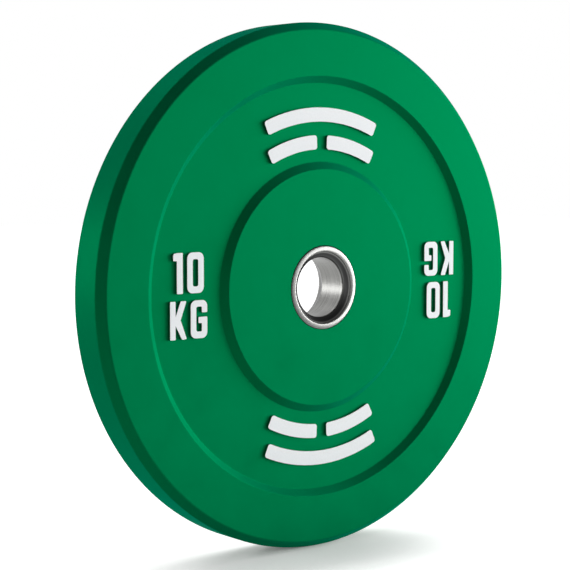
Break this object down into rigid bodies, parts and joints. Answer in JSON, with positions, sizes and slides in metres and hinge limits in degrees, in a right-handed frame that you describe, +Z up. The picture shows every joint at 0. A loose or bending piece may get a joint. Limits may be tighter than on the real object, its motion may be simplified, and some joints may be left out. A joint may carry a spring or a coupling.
{
  "type": "bumper plate",
  "caption": "Round moulded rubber weight plate that slides onto a bar sleeve: a thick rim, a recessed channel with raised white-faced marks on each face, and a flush steel insert.",
  "frame": {"origin": "centre of the bore, half way through the plate, which is also the centre of its box", "axes": "+Y along the bore from the front face to the rear face, +Z up with the plate standing on its rim, +X to the right as seen from the front"},
  "size_m": [0.4496, 0.045, 0.4496],
  "materials": {
    "green_rubber": "smooth satin moulding",
    "white_facing": "matt white coat",
    "stainless_steel": "turned, with a polished lip",
    "plain_steel": "plain rolled"
  },
  "bodies": {
    "root": {"rubber_disc": "green_rubber", "hub_sleeve": "stainless_steel", "rear_lip_ring": "stainless_steel", "anchor_flange": "plain_steel", "front_left_digit_one": "white_facing", "front_left_digit_zero": "white_facing", "front_left_letter_k": "white_facing", "front_left_letter_g": "white_facing", "front_right_digit_one": "white_facing", "front_right_digit_zero": "white_facing", "front_right_letter_k": "white_facing", "front_right_letter_g": "white_facing", "front_top_bar_long": "white_facing", "front_top_bar_short_a": "white_facing", "front_top_bar_short_b": "white_facing", "front_bottom_bar_long": "white_facing", "front_bottom_bar_short_a": "white_facing", "front_bottom_bar_short_b": "white_facing", "rear_left_digit_one": "white_facing", "rear_left_digit_zero": "white_facing", "rear_left_letter_k": "white_facing", "rear_left_letter_g": "white_facing", "rear_right_digit_one": "white_facing", "rear_right_digit_zero": "white_facing", "rear_right_letter_k": "white_facing", "rear_right_letter_g": "white_facing", "rear_top_bar_long": "white_facing", "rear_top_bar_short_a": "white_facing", "rear_top_bar_short_b": "white_facing", "rear_bottom_bar_long": "white_facing", "rear_bottom_bar_short_a": "white_facing", "rear_bottom_bar_short_b": "white_facing"}
  },
  "joints": []
}
